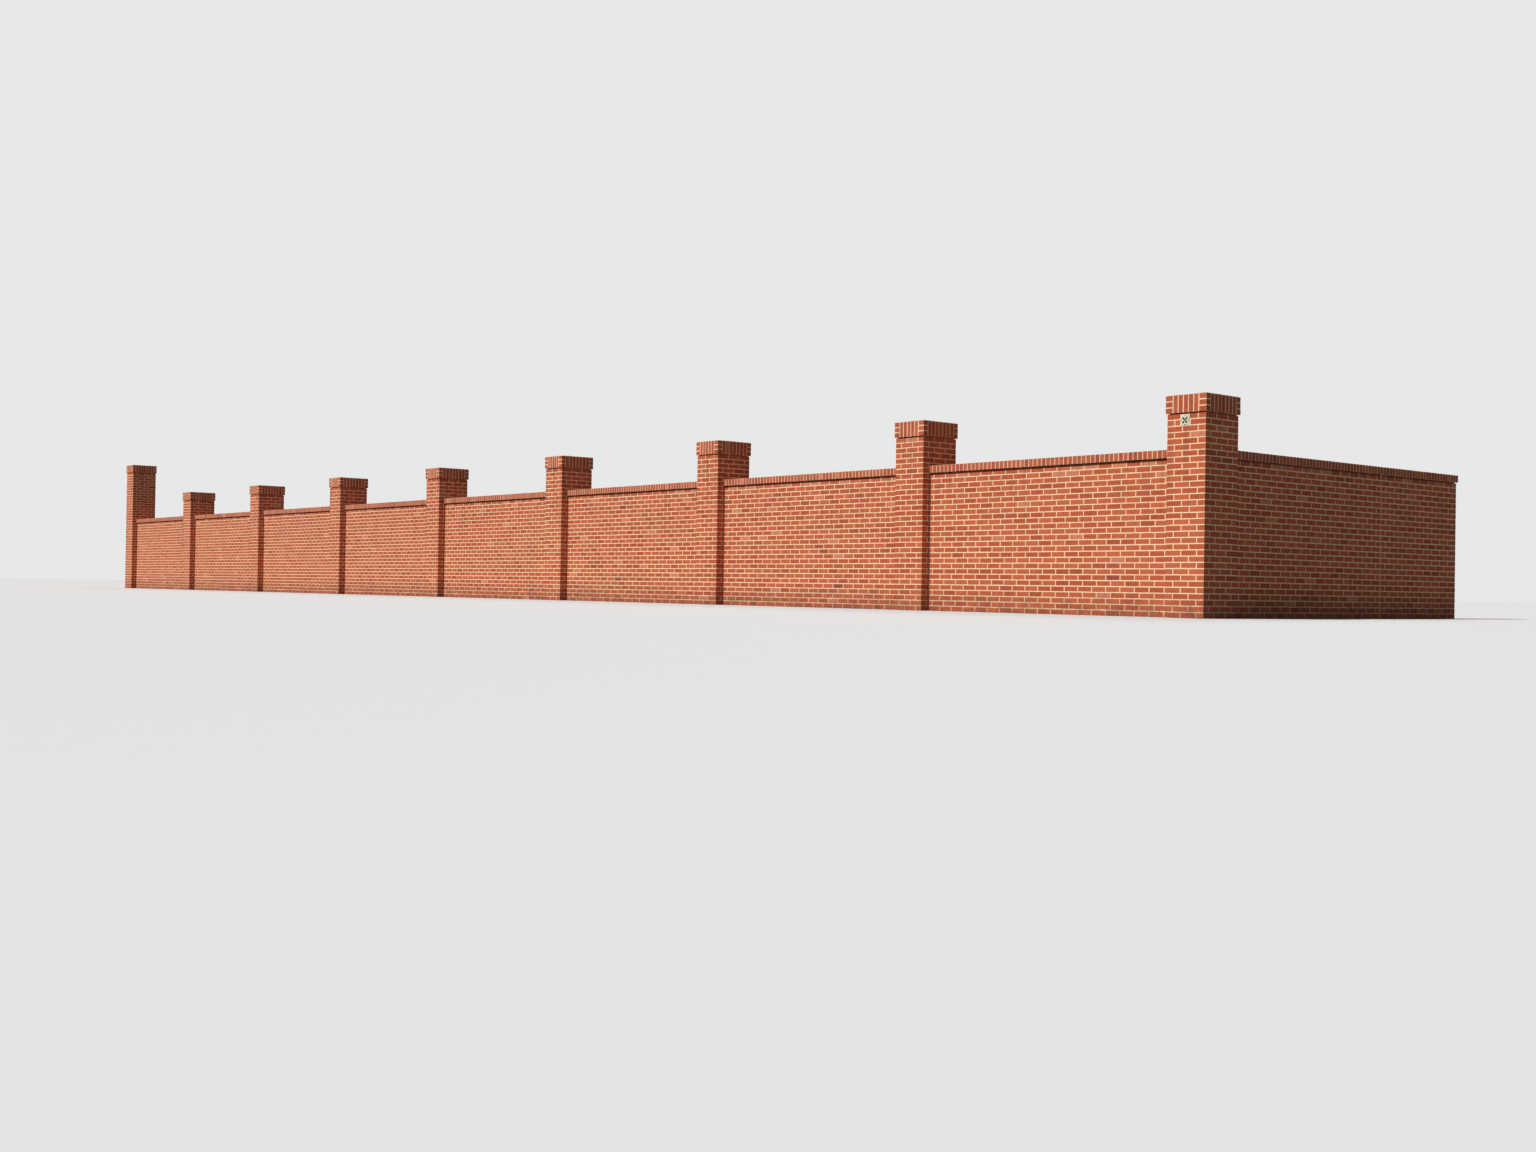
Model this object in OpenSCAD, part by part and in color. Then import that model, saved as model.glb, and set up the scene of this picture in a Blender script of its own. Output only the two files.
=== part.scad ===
// Brick garden wall on a street corner: nine brick piers with soldier-course caps,
// eight equal wall bays under a rowlock coping, and a shorter return wall that runs
// back from the corner pier and is cut by one expansion joint.
//
// Frame: +X runs along the street wall towards the corner, +Y into the garden, +Z up.
// The origin is the centre of the corner pier's foot. The street wall runs towards -X.

/* [Brick and joints] */
// Length of one brick
brick_l = 193.7; // [180:0.1:240]
// Width of one brick
brick_w = 92.1; // [85:0.1:115]
// Height of one brick, which is also the face of a brick on edge
brick_h = 57.2; // [50:0.1:75]
// Mortar joint between neighbouring bricks
joint = 9.5; // [6:0.1:14]
// Height of one laid course, brick and bed joint together
course_h = 67.7; // [62:0.1:90]
// Depth that the joints of the caps and copings are raked back
rake = 4; // [2:0.5:8]

/* [Street wall] */
// Stretchers in one bay, from pier centre to pier centre
bay_bricks = 21; // [12:0.5:24]
// Courses in the wall below its coping
wall_courses = 26; // [14:1:30]
// Thickness of the wall
wall_t = 346.1; // [200:0.1:380]
// Distance that the coping bricks reach past each face of the wall
coping_overhang = 25.4; // [10:0.1:50]

/* [Piers] */
// Bricks across the front of a pier
pier_front_bricks = 2.5; // [2.5:0.5:4]
// Bricks along the side of a pier
pier_side_bricks = 3; // [2.5:0.5:5]
// Courses in a pier shaft below its cap
pier_courses = 33; // [31:1:44]
// Courses in the shaft of the tall pier at the entrance
entrance_courses = 46; // [31:1:52]
// Distance that a cap reaches past each face of its shaft
cap_reach = 15; // [5:0.5:40]
// Soldier bricks between the quoins on the front of a cap
front_soldiers = 5; // [4:1:5]
// Soldier bricks between the quoins on the side of a cap
side_soldiers = 7; // [4:1:7]
// Stacked bricks in each quoin of a cap
quoin_bricks = 3; // [2:1:3]
// Thickness of the mortar wash at the middle of a cap
wash_h = 14; // [8:0.5:40]
// Thickness of the mortar wash at its edge
wash_edge = 5; // [3:0.5:7]
// Distance from the cap's edge in to the wash
wash_inset = 12; // [6:0.5:25]

/* [Return wall] */
// Length of the return wall from the corner pier to the expansion joint
return_near_l = 3100; // [1200:0.1:4500]
// Length of the return wall past the expansion joint
return_far_l = 1819.3; // [600:0.1:3000]
// Width of the expansion joint
expansion_w = 19; // [10:1:30]
// Depth that the filler sits back from the faces of wall and coping
filler_back = 5; // [2:0.5:12]

/* [Pier tile] */
// Width and height of the square tile in the corner pier
tile_w = 102; // [80:1:140]
// Thickness of the tile
tile_t = 16; // [10:1:30]
// Distance that the tile stands out of the pier's face
tile_proud = 4; // [2:0.5:8]
// Mortar border round the tile
tile_border = 9; // [4:0.5:15]
// Distance from the pier's centre line to the tile's centre
tile_x = -18; // [-100:1:100]
// Courses from the foot of the pier to the bottom of the tile
tile_course = 31; // [20:0.5:31]

/* [Hidden] */
bays = 8;
module_l = brick_l + joint;
bay_l = bay_bricks * module_l;
pier_w = pier_front_bricks * module_l - joint;
pier_d = pier_side_bricks * module_l - joint;
pier_h = pier_courses * course_h;
entrance_h = entrance_courses * course_h;
wall_l = bay_l - pier_w;
wall_h = wall_courses * course_h;
coping_w = wall_t + 2 * coping_overhang;
coping_h = brick_w;
cap_w = pier_w + 2 * cap_reach;
cap_d = pier_d + 2 * cap_reach;
cap_h = brick_l;
cap_joint = (cap_w - 2 * brick_w - front_soldiers * brick_h) / (front_soldiers + 1);
side_quoin = (cap_d - side_soldiers * brick_h - (side_soldiers + 1) * joint) / 2;
quoin_bed = (cap_h - quoin_bricks * brick_h) / (quoin_bricks - 1);
return_near_y = pier_d / 2;
return_joint_y = return_near_y + return_near_l;
return_far_y = return_joint_y + expansion_w;
tile_z = tile_course * course_h;

brick_red = [0.72, 0.32, 0.22];
coping_red = [0.66, 0.29, 0.20];
mortar_cream = [0.86, 0.76, 0.62];
tile_green = [0.62, 0.68, 0.56];

// Centre of pier i along the street, with the corner pier as 0
function pier_x(i) = -i * bay_l;

// Left end of the wall in bay i, with the bay next to the corner as 1
function bay_x(i) = pier_x(i) + pier_w / 2;

// A shaft of coursed brick, centred on the origin
module shaft(h) {
    color(brick_red)
        translate([-pier_w / 2, -pier_d / 2, 0])
            cube([pier_w, pier_d, h]);
}

// Bricks of one cap face: quoins stacked at both ends and soldiers between them.
// The face runs along +X from the origin and the bricks reach back along +Y.
module cap_face(length, quoin_w, soldiers, gap, depth) {
    for (end = [0, length - quoin_w])
        for (k = [0 : quoin_bricks - 1])
            translate([end, 0, k * (brick_h + quoin_bed)])
                cube([quoin_w, depth, brick_h]);
    for (k = [0 : soldiers - 1])
        translate([quoin_w + gap + k * (brick_h + gap), 0, 0])
            cube([brick_h, depth, cap_h]);
}

// Low hipped bed of mortar on top of a cap
module mortar_wash() {
    half_w = cap_w / 2 - wash_inset;
    half_d = cap_d / 2 - wash_inset;
    slope = half_w;
    intersection() {
        translate([0, half_d, 0])
            rotate([90, 0, 0])
                linear_extrude(height = 2 * half_d)
                    polygon([[-half_w, -rake], [half_w, -rake], [half_w, wash_edge],
                        [half_w - slope / 2, wash_h], [slope / 2 - half_w, wash_h],
                        [-half_w, wash_edge]]);
        translate([-half_w, 0, 0])
            rotate([90, 0, 90])
                linear_extrude(height = 2 * half_w)
                    polygon([[-half_d, -rake], [half_d, -rake], [half_d, wash_edge],
                        [half_d - slope / 2, wash_h], [slope / 2 - half_d, wash_h],
                        [-half_d, wash_edge]]);
    }
}

// Soldier-course cap with quoined corners, its joints raked back to a mortar core
module cap(x, z) {
    bond = brick_w / 2;
    color(coping_red)
        translate([x, 0, z])
            union() {
                translate([rake - cap_w / 2, rake - cap_d / 2, 0])
                    cube([cap_w - 2 * rake, cap_d - 2 * rake, cap_h]);
                for (turn = [0, 180])
                    rotate([0, 0, turn]) {
                        translate([-cap_w / 2, -cap_d / 2, 0])
                            cap_face(cap_w, brick_w, front_soldiers, cap_joint, bond);
                        translate([cap_w / 2, -cap_d / 2, 0])
                            rotate([0, 0, 90])
                                cap_face(cap_d, side_quoin, side_soldiers, joint, bond);
                    }
                translate([0, 0, cap_h])
                    mortar_wash();
            }
}

// A run of coursed wall along +X, centred on Y = 0
module wall_run(length) {
    color(brick_red)
        translate([0, -wall_t / 2, 0])
            cube([length, wall_t, wall_h]);
}

// Cuts a joint of a coping back to its mortar, on the front, the top and the back
module raked_joint(x, width) {
    translate([x, 0, 0])
        difference() {
            translate([0, -coping_w, -rake])
                cube([width, 2 * coping_w, coping_h + 2 * rake]);
            translate([-width, rake - coping_w / 2, -2 * rake])
                cube([3 * width, coping_w - 2 * rake, coping_h + rake]);
        }
}

// Rowlock coping along +X: bricks on edge, two end to end across the wall, on a mortar core.
// An end that meets a pier has a mortar joint there, and a free end has a brick.
module rowlock_run(length, start_joint, end_joint) {
    outer_joints = start_joint + end_joint;
    count = floor((length + (1 - outer_joints) * joint) / (brick_h + joint));
    gap = (length - count * brick_h) / (count - 1 + outer_joints);
    first = start_joint * gap;
    color(coping_red)
        translate([0, 0, wall_h])
            difference() {
                translate([0, -coping_w / 2, 0])
                    cube([length, coping_w, coping_h]);
                for (k = [1 : count - 1])
                    raked_joint(first + k * (brick_h + gap) - gap, gap);
                if (start_joint > 0)
                    raked_joint(-gap, 2 * gap);
                if (end_joint > 0)
                    raked_joint(length - gap, 2 * gap);
                translate([-joint, -joint / 2, coping_h - rake])
                    cube([length + 2 * joint, joint, 2 * rake]);
            }
}

// Places a run made along +X so that it runs back from the corner pier along +Y
module on_return(y) {
    translate([0, y, 0])
        rotate([0, 0, 90])
            children();
}

module corner_pier() {
    pocket = tile_w + 2 * tile_border;
    difference() {
        shaft(pier_h);
        translate([tile_x - pocket / 2, -pier_d / 2 - tile_t, tile_z - tile_border])
            cube([pocket, 2 * tile_t - tile_proud, pocket]);
    }
}

module street_pier(i) {
    translate([pier_x(i), 0, 0])
        shaft(pier_h);
}

module entrance_pier() {
    translate([pier_x(bays), 0, 0])
        shaft(entrance_h);
}

module bay_wall(i) {
    translate([bay_x(i), 0, 0])
        wall_run(wall_l);
}

module bay_coping(i) {
    translate([bay_x(i), 0, 0])
        rowlock_run(wall_l, 1, 1);
}

module return_wall_near() {
    on_return(return_near_y)
        wall_run(return_near_l);
}

module return_wall_far() {
    on_return(return_far_y)
        wall_run(return_far_l);
}

module return_coping_near() {
    on_return(return_near_y)
        rowlock_run(return_near_l, 1, 0);
}

module return_coping_far() {
    on_return(return_far_y)
        rowlock_run(return_far_l, 0, 0);
}

// Filler strip that closes the expansion joint through wall and coping
module expansion_filler() {
    color(mortar_cream)
        on_return(return_joint_y)
            rotate([90, 0, 90])
                linear_extrude(height = expansion_w)
                    polygon([
                        [filler_back - wall_t / 2, 0],
                        [wall_t / 2 - filler_back, 0],
                        [wall_t / 2 - filler_back, wall_h],
                        [coping_w / 2 - filler_back, wall_h],
                        [coping_w / 2 - filler_back, wall_h + coping_h - filler_back],
                        [filler_back - coping_w / 2, wall_h + coping_h - filler_back],
                        [filler_back - coping_w / 2, wall_h],
                        [filler_back - wall_t / 2, wall_h]
                    ]);
}

// Square tile in its mortar border, set in a pocket of the corner pier
module corner_tile() {
    pocket = tile_w + 2 * tile_border;
    back_y = tile_t - tile_proud - pier_d / 2;
    color(tile_green)
        union() {
            translate([tile_x - pocket / 2, -pier_d / 2, tile_z - tile_border])
                cube([pocket, tile_t - tile_proud, pocket]);
            translate([tile_x - tile_w / 2, back_y - tile_t, tile_z])
                cube([tile_w, tile_t, tile_w]);
        }
}

corner_pier();
street_pier(1);  // pier_2
street_pier(2);  // pier_3
street_pier(3);  // pier_4
street_pier(4);  // pier_5
street_pier(5);  // pier_6
street_pier(6);  // pier_7
street_pier(7);  // pier_8
entrance_pier();
cap(pier_x(0), pier_h);  // corner_cap
cap(pier_x(1), pier_h);  // cap_2
cap(pier_x(2), pier_h);  // cap_3
cap(pier_x(3), pier_h);  // cap_4
cap(pier_x(4), pier_h);  // cap_5
cap(pier_x(5), pier_h);  // cap_6
cap(pier_x(6), pier_h);  // cap_7
cap(pier_x(7), pier_h);  // cap_8
cap(pier_x(bays), entrance_h);  // entrance_cap
bay_wall(1);  // bay_wall_1
bay_wall(2);  // bay_wall_2
bay_wall(3);  // bay_wall_3
bay_wall(4);  // bay_wall_4
bay_wall(5);  // bay_wall_5
bay_wall(6);  // bay_wall_6
bay_wall(7);  // bay_wall_7
bay_wall(8);  // bay_wall_8
bay_coping(1);  // bay_coping_1
bay_coping(2);  // bay_coping_2
bay_coping(3);  // bay_coping_3
bay_coping(4);  // bay_coping_4
bay_coping(5);  // bay_coping_5
bay_coping(6);  // bay_coping_6
bay_coping(7);  // bay_coping_7
bay_coping(8);  // bay_coping_8
return_wall_near();
return_wall_far();
return_coping_near();
return_coping_far();
expansion_filler();
corner_tile();
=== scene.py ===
"""A brick garden wall on a street corner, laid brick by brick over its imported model.

Each pier, cap, bay, coping and length of the return wall has its own bricks and mortar.
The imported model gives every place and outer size, and the properties below give the rest.
"""

import math
import random

import bmesh
import bpy
import numpy as np
from bpy.props import FloatProperty, FloatVectorProperty, IntProperty, PointerProperty
from mathutils import Matrix, Vector


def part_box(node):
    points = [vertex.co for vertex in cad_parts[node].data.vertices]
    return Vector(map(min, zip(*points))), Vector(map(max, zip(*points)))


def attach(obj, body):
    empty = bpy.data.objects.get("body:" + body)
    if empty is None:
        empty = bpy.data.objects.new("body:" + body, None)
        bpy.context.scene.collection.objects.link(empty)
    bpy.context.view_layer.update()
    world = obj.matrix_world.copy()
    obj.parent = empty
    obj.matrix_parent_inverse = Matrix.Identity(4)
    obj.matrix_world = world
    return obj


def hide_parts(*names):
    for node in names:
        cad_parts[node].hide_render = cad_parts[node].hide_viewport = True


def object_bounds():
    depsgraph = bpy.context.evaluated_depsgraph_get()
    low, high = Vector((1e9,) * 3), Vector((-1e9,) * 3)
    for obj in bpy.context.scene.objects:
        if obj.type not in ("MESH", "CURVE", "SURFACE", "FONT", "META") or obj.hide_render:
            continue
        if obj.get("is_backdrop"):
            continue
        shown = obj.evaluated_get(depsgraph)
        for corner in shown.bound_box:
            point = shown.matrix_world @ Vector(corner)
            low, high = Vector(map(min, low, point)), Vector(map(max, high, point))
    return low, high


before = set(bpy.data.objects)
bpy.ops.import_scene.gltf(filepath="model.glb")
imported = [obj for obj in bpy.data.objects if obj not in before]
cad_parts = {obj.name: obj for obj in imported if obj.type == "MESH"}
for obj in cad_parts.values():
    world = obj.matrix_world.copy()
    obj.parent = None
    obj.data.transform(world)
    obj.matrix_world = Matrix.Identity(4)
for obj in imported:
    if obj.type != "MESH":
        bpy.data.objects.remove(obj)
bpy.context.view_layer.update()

bl_info = {
    "name": "Brick Garden Wall",
    "version": (1, 0, 0),
    "blender": (4, 5, 0),
    "location": "3D View > Sidebar > Garden Wall",
    "description": "Lays the bricks and mortar of a garden wall with piers, caps and copings",
    "category": "Object",
}

PIERS = ["corner_pier"] + [f"pier_{i}" for i in range(2, 9)] + ["entrance_pier"]
CAPS = ["corner_cap"] + [f"cap_{i}" for i in range(2, 9)] + ["entrance_cap"]
BAYS = [f"bay_wall_{i}" for i in range(1, 9)]
COPINGS = [f"bay_coping_{i}" for i in range(1, 9)]

# Outer sides of a piece: axis, way out, axis across the view and its way, axis up the view
SIDES = {
    "front": (1, -1, 0, 1, 2),
    "right": (0, 1, 1, 1, 2),
    "back": (1, 1, 0, -1, 2),
    "left": (0, -1, 1, -1, 2),
    "top": (2, 1, 0, 1, 1),
    "long_top": (2, 1, 1, 1, 0),
}

# Where each kind of piece starts counting its random draws
DRAWS = {"piers": 0, "caps": 100, "bays": 200, "copings": 300, "return": 400, "wash": 500}

# A hair's breadth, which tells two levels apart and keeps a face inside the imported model
HAIR = 0.001
# Height of the lip that the trowel leaves over and under each brick
LIP = 0.0008
# Foot and top of the ledge under the deep joint, below the upper edge of the top bricks
LEDGE_FOOT, LEDGE_TOP = 0.002, 0.001
# A piece of brick shorter than this isn't laid
SHORTEST = 0.015
# Share of bricks that are pale with salts
USUAL_BLOOM = 0.02
# Space round each side on a piece's colour map, and how squarely a face looks out of its side
MAP_MARGIN, SQUARELY = 0.03, 0.72
# The stage: half the floor's width, its drop below the wall's foot, the lamps' distance
FLOOR_REACH, FLOOR_DROP, LAMP_DISTANCE = 300.0, 0.002, 30.0

# What burning leaves of a brick's colour, and the colours of specks and grains
BURNT_SHARE = (0.60, 0.48, 0.46)
IRON_SPECK = (0.09, 0.05, 0.04)
JOINT_GRAIN = (0.42, 0.32, 0.23)
WASH_GRAIN = (0.25, 0.21, 0.17)
LICHEN = (0.12, 0.12, 0.09)
# How many times longer than wide the streaks are that water leaves
STREAK_LENGTH = 9.0


def linear(red, green, blue):
    """A colour written as 0 to 255 on screen, as the scene's own numbers."""
    parts = [c / 255 for c in (red, green, blue)]
    return [c / 12.92 if c <= 0.04045 else ((c + 0.055) / 1.055) ** 2.4 for c in parts]


def a_length(name, description, default, **limits):
    """A length, shown to a tenth of a millimetre."""
    return FloatProperty(name=name, description=description, default=default, unit="LENGTH",
                         precision=4, **limits)


def an_angle(name, description, default):
    """An angle, kept in radians and shown in degrees."""
    return FloatProperty(name=name, description=description, default=default, subtype="ANGLE")


def a_colour(name, description, default):
    """A colour with a picker."""
    return FloatVectorProperty(name=name, description=description, default=default,
                               subtype="COLOR")


class WallSizes(bpy.types.PropertyGroup):
    """Sizes of the bricks and joints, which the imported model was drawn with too"""

    brick_length: a_length("Brick length", "Longest side of a brick", 0.1937, min=0.1)
    brick_width: a_length("Brick width", "Width of a brick, front to back", 0.0921, min=0.05)
    brick_height: a_length(
        "Brick height", "Height of a brick as it is laid in the wall", 0.0572, min=0.03)
    joint: a_length("Joint", "Width of an upright mortar joint", 0.0095, min=0.004)
    course: a_length("Course", "Height of a course, brick and bed joint together", 0.0677, min=0.04)
    struck: a_length(
        "Struck depth", "Depth of the joints behind the bricks", 0.0017, min=0.001, max=0.008)
    rake: a_length(
        "Rake", "Depth of the joints at the coping's ends and top", 0.004, min=0.001, max=0.008)
    drip: a_length(
        "Drip gap", "Depth of the joint under caps and copings", 0.018, min=0.002, max=0.03)
    arris: a_length("Arris", "Width of the worn edge of a brick", 0.0016, min=0.0005, max=0.004)
    waver: a_length("Waver", "How far a brick strays from its line", 0.0006, min=0.0, max=0.0006)
    wash_edge: a_length("Wash edge", "Thickness of the mortar wash at its edge", 0.005, min=0.002)
    wash_inset: a_length(
        "Wash inset", "Distance from the cap's edge in to the wash", 0.012, min=0.002)
    seed: IntProperty(name="Seed", description="Chooses which brick gets which tone", default=7)


class WallColours(bpy.types.PropertyGroup):
    """Colours of the fired bricks, the mortar and the small parts"""

    orange_brick: a_colour("Orange brick", "The commonest tone", linear(203, 101, 64))
    red_brick: a_colour("Red brick", "A fuller red", linear(193, 89, 55))
    deep_brick: a_colour("Deep brick", "Bricks fired harder", linear(182, 82, 50))
    plum_brick: a_colour("Plum brick", "The few darkest bricks", linear(154, 70, 52))
    pale_brick: a_colour("Pale brick", "Bricks with a bloom of salts", linear(216, 134, 100))
    mortar: a_colour("Mortar", "Cream sand and lime of the joints", linear(255, 226, 188))
    coping_mortar: a_colour(
        "Coping mortar", "Weathered mortar between the coping bricks", linear(238, 202, 172))
    # Painted shade: dark colour of the deep joint's mortar under caps and copings, also mixed into
    # the bricks as painted shadow just under the copings
    deep_joint: a_colour(
        "Deep joint", "Damp mortar of the joint under caps and copings", linear(92, 54, 42))
    wash: a_colour("Wash", "Weathered mortar on top of the caps", linear(206, 188, 164))
    grime: a_colour("Grime", "Dirt that rain washes down the walling", linear(104, 72, 60))
    soil: a_colour("Soil", "Splashed earth at the wall's foot", linear(112, 74, 52))
    sealant: a_colour("Sealant", "Filler of the expansion joint", linear(240, 212, 172))
    tile_pale: a_colour("Tile ground", "Pale glaze of the small tile", linear(236, 236, 212))
    tile_dark: a_colour("Tile figure", "Dark green glaze of the small tile", linear(30, 52, 40))


class StageSettings(bpy.types.PropertyGroup):
    """The camera, the floor and the light"""

    camera_place: FloatVectorProperty(
        name="Camera place", description="Where the camera stands", subtype="XYZ",
        unit="LENGTH", default=(10.736, -15.0678, 0.2391))
    camera_turn: an_angle("Camera turn", "Turn to the left of the garden's axis", 0.87874)
    camera_rise: an_angle("Camera rise", "How far the camera looks up", 0.00814)
    camera_roll: an_angle("Camera roll", "How far the horizon falls to the right", 0.01589)
    lens: FloatProperty(
        name="Lens", description="Focal length on a 36 mm wide picture",
        default=38.185, subtype="DISTANCE_CAMERA")
    lamp_colour: a_colour("Lamp colour", "Colour of both lamps", (1.0, 0.965, 0.92))
    key_strength: FloatProperty(
        name="Key strength", description="Strength of the main light", default=3.95)
    key_side: an_angle("Key side", "How far left of square-on it stands", math.radians(10))
    key_height: an_angle("Key height", "Its height above the horizon", math.radians(50))
    key_softness: an_angle("Key softness", "Its apparent width", math.radians(5))
    fill_strength: FloatProperty(
        name="Fill strength", description="Strength of the garden's soft light", default=0.9)
    fill_side: an_angle("Fill side", "How far left of square-on it stands", math.radians(25))
    fill_height: an_angle("Fill height", "Its height above the horizon", math.radians(40))
    fill_softness: an_angle("Fill softness", "Its apparent width", math.radians(30))
    sky_strength: FloatProperty(
        name="Sky strength", description="Strength of the even light all round", default=0.145)
    sky_colour: a_colour("Sky colour", "Colour of the even light all round", (0.93, 0.97, 1.0))
    floor_seen: a_colour("Floor", "Floor as the camera sees it", (0.61, 0.62, 0.64))
    floor_bounce: a_colour("Floor bounce", "Floor as it throws light back", (0.165, 0.161, 0.157))
    backdrop: a_colour("Backdrop", "Background as the camera sees it", (0.80, 0.805, 0.81))


# Finishes


def sum_of(operation, turned=False):
    """A sum of Value's, as a Math node. turned puts the other side first."""
    def work_out(self, other):
        first, second = (other, self) if turned else (self, other)
        node = self.paint.node("ShaderNodeMath", {"operation": operation}, {0: first, 1: second})
        return Value(self.paint, node.outputs[0])

    return work_out


class Value:
    """A node's output, on which sums are written as sums."""

    __add__ = __radd__ = sum_of("ADD")
    __sub__ = sum_of("SUBTRACT")
    __rsub__ = sum_of("SUBTRACT", turned=True)
    __mul__ = __rmul__ = sum_of("MULTIPLY")
    __truediv__ = sum_of("DIVIDE")
    __rtruediv__ = sum_of("DIVIDE", turned=True)
    least = sum_of("MINIMUM")
    most = sum_of("MAXIMUM")

    def __init__(self, paint, socket):
        self.paint, self.socket = paint, socket

    def between(self, low, high):
        """0 at or below low, 1 at or above high, and even between."""
        node = self.paint.node("ShaderNodeMapRange", {"clamp": True},
                               {"Value": self, "From Min": low, "From Max": high})
        return Value(self.paint, node.outputs["Result"])


class Nodes:
    """The nodes of a material or of the world."""

    def __init__(self, owner):
        owner.use_nodes = True
        self.tree = owner.node_tree
        self.tree.nodes.clear()

    def feed(self, socket, value):
        """Links an output to a socket, or sets the socket to a number, vector or colour."""
        if isinstance(value, Value):
            value = value.socket
        if isinstance(value, bpy.types.NodeSocket):
            self.tree.links.new(value, socket)
        elif socket.type == "RGBA":
            socket.default_value = (*value, 1.0)
        else:
            socket.default_value = value

    def node(self, kind, settings, sockets):
        """Adds a node: its settings are set first, then its sockets' values or links."""
        node = self.tree.nodes.new(kind)
        for name, value in settings.items():
            setattr(node, name, value)
        for key, value in sockets.items():
            self.feed(node.inputs[key], value)
        return node


class Paint(Nodes):
    """One material, and the noise and mixtures that finishes are made of."""

    def __init__(self, name):
        self.material = bpy.data.materials.new(name)
        super().__init__(self.material)
        self.shader = self.node("ShaderNodeBsdfPrincipled", {}, {})
        self.node("ShaderNodeOutputMaterial", {}, {"Surface": self.shader.outputs["BSDF"]})
        self.place = self.node("ShaderNodeTexCoord", {}, {}).outputs["Object"]

    def noise(self, scale, detail, roughness, place=None):
        """Cloudy noise from 0 to 1, finer as its scale grows."""
        node = self.node("ShaderNodeTexNoise", {}, {
            "Vector": place or self.place, "Scale": scale, "Detail": detail,
            "Roughness": roughness})
        return Value(self, node.outputs["Fac"])

    def height(self):
        """Height above the ground."""
        node = self.node("ShaderNodeSeparateXYZ", {}, {"Vector": self.place})
        return Value(self, node.outputs["Z"])

    def mix(self, share, first, second, blend="MIX"):
        """A colour between two, or one laid on the other by the blend that is named."""
        node = self.node("ShaderNodeMix", {"data_type": "RGBA", "blend_type": blend},
                         {0: share, 6: first, 7: second})
        return node.outputs[2]

    def finish(self, colour, roughness, relief=None, strength=0.3, depth=0.001):
        """Feeds the shader its colour and roughness and, where it has relief, its bumps."""
        sockets = self.shader.inputs
        self.feed(sockets["Base Color"], colour)
        self.feed(sockets["Roughness"], roughness)
        if relief is not None:
            bump = self.node("ShaderNodeBump", {},
                             {"Strength": strength, "Distance": depth, "Height": relief})
            self.feed(sockets["Normal"], bump.outputs["Normal"])
        return self.material


def darker(colour, share):
    """A share of a colour's light."""
    return [c * share for c in colour]


def run_off(paint, colour, colours):
    """Dirt washed down the upper part of the walling in faint streaks."""
    drawn = paint.node("ShaderNodeMapping", {},
                       {"Vector": paint.place, "Scale": (1.0, 1.0, 1 / STREAK_LENGTH)})
    streak = paint.noise(11.0, 4.0, 0.6, drawn.outputs["Vector"]).between(0.50, 0.66)
    reach = paint.height().between(0.7, 1.8)
    return paint.mix(streak * reach * 0.3, colour, colours.grime)


def splashed(paint, colour, colours, height, patches, strength):
    """Earth that rain has splashed in patches on the foot of the wall, up to a height."""
    wet = paint.height().between(height, 0.0) * paint.noise(9.0, 3.0, 0.6).between(*patches)
    return paint.mix(wet * strength, colour, colours.soil)


def brow_of(high, sizes):
    """Height of the upper edge of a wall's top bricks, under the deep joint."""
    return high.z - (sizes.course - sizes.brick_height)


def fired_brick(colours, brow=None):
    """Sand-faced clay brick: each brick's own tone, mottled by the kiln, soiled near the ground and
    darkened with painted shadow of the coping just under brow, the height at which the deep joint
    of a coping starts."""
    paint = Paint("fired_brick")
    own = paint.node("ShaderNodeAttribute", {"attribute_name": "brick_colour"}, {})
    own = own.outputs["Color"]
    kiln = paint.noise(15.0, 4.0, 0.65)
    mottle = paint.noise(65.0, 4.0, 0.7)
    sand = paint.noise(480.0, 2.0, 0.7)
    burnt = paint.mix(1.0, own, BURNT_SHARE, "MULTIPLY")
    colour = paint.mix(kiln.between(0.50, 0.72) * 0.42 + mottle.between(0.50, 0.68) * 0.34,
                       own, burnt)
    dusty = paint.mix(0.5, own, colours.pale_brick)
    colour = paint.mix(mottle.between(0.47, 0.32) * 0.75, colour, dusty)
    colour = paint.mix(sand.between(0.56, 0.66) * 0.35, colour, dusty)
    specks = paint.noise(230.0, 2.0, 0.6).between(0.66, 0.70)
    colour = paint.mix(specks * 0.65, colour, IRON_SPECK)
    colour = run_off(paint, colour, colours)
    colour = splashed(paint, colour, colours, 0.34, (0.25, 0.75), 0.75)
    # Painted shadow of the coping: a band of bricks just under brow is darkened towards the deep
    # joint's colour
    if brow is not None:
        coping_shadow = paint.height().between(brow - 0.022, brow - 0.010)
        colour = paint.mix(coping_shadow * 0.45, colour, colours.deep_joint)
    relief = sand * 0.7 + mottle * 1.1 - specks * 0.7
    return paint.finish(colour, 0.82 + sand * 0.14, relief, 0.6, 0.0016)


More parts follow.
